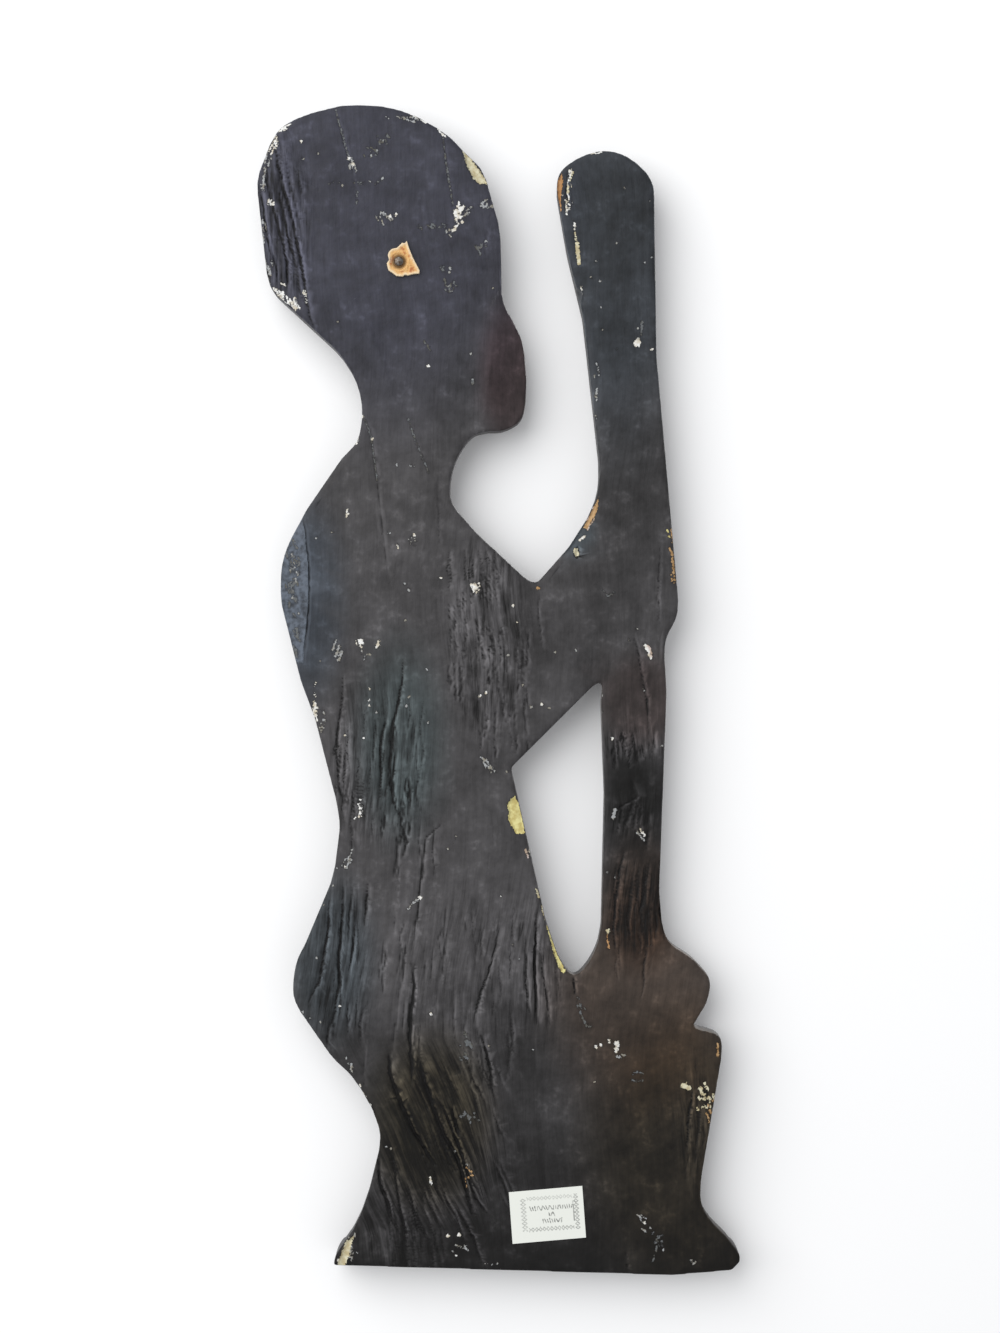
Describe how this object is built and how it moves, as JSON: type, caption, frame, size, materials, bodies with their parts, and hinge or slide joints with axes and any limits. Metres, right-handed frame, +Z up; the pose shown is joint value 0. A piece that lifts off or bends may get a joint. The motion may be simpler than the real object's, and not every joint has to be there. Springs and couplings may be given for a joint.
{
  "type": "carved wooden wall plaque",
  "caption": "Pierced silhouette wall plaque of a figure pounding grain in a mortar, carved in low relief, nailed hanger scrap and label on its flat back.",
  "frame": {"origin": "centre of the nail head's outer face, in the plane of the wall", "axes": "+Z up along the figure, +Y into the wall, carved front towards -Y, +X to the figure's back"},
  "size_m": [0.2417, 0.025, 0.586],
  "materials": {
    "black_painted_wood": "matt black paint, worn and chipped at the edges",
    "tan_leather": "undyed tan leather, torn",
    "nail_steel": "dull steel",
    "white_paper": "white paper with a printed border"
  },
  "bodies": {
    "root": {"plaque": "black_painted_wood", "hanger_tab": "tan_leather", "hanger_nail": "nail_steel", "back_label": "white_paper"}
  },
  "joints": []
}
